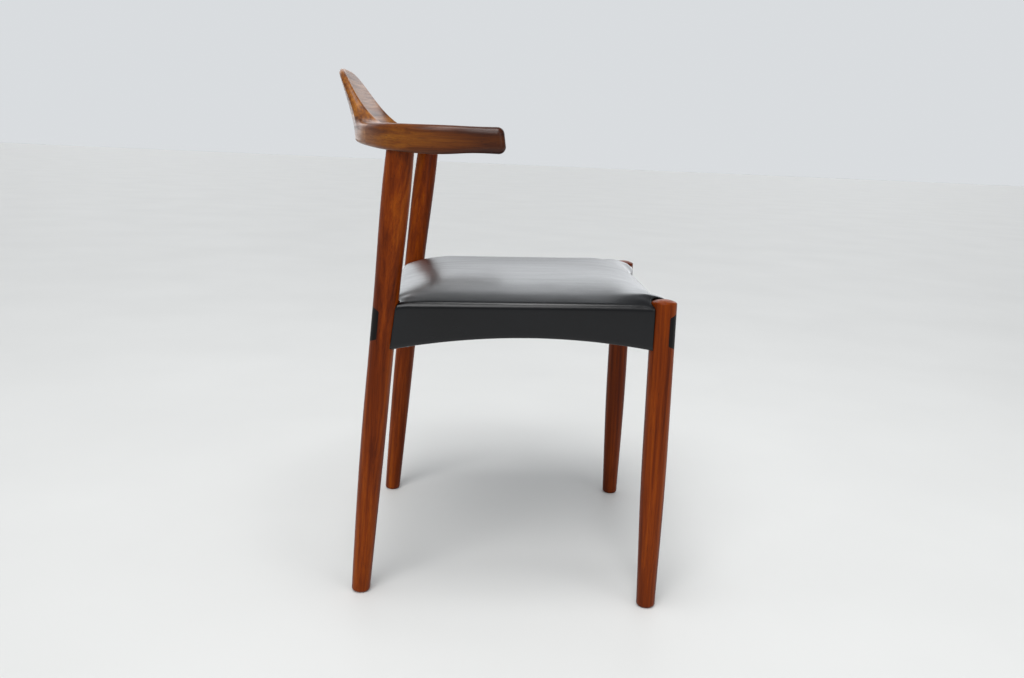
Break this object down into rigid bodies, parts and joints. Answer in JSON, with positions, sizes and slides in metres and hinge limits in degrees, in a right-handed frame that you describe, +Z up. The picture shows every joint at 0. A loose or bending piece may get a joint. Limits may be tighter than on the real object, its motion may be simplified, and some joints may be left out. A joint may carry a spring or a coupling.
{
  "type": "dining chair",
  "caption": "Dining chair with round tapered wooden legs, a curved horn-shaped back running into short arms and a crowned black leather seat.",
  "frame": {"origin": "floor level, under the middle of the chair's outline", "axes": "+Z up, the chair faces -Y, +X is the sitter's left"},
  "size_m": [0.5916, 0.4979, 0.75],
  "materials": {
    "teak_leg": "satin oiled",
    "teak_back": "satin oiled",
    "teak_arm": "satin oiled",
    "ebonised_wood": "satin",
    "beech_frame": "sawn",
    "zinc_steel": "zinc plated",
    "blued_steel": "blued",
    "webbing": "woven",
    "foam": "open cell",
    "black_leather": "semi-gloss smooth",
    "dust_cloth": "matte woven"
  },
  "bodies": {
    "root": {"arm_left": "teak_arm", "arm_right": "teak_arm", "back_crest": "teak_back", "barrel_nuts": "zinc_steel", "bolt_cover_front_left": "ebonised_wood", "bolt_cover_front_right": "ebonised_wood", "bolt_cover_rear_left": "ebonised_wood", "bolt_cover_rear_right": "ebonised_wood", "bolt_washers": "zinc_steel", "corner_block_front_left": "beech_frame", "corner_block_front_right": "beech_frame", "corner_block_rear_left": "beech_frame", "corner_block_rear_right": "beech_frame", "corner_screws": "zinc_steel", "cover_tacks": "blued_steel", "crest_dowels": "beech_frame", "dust_cover": "dust_cloth", "foam_pad": "foam", "frame_bolts": "zinc_steel", "front_leg_left": "teak_leg", "front_leg_right": "teak_leg", "front_rail": "beech_frame", "leather_cover": "black_leather", "rail_dowels": "beech_frame", "rear_leg_left": "teak_leg", "rear_leg_right": "teak_leg", "rear_rail": "beech_frame", "side_rail_left": "beech_frame", "side_rail_right": "beech_frame", "webbing_across": "webbing", "webbing_along": "webbing"}
  },
  "joints": []
}
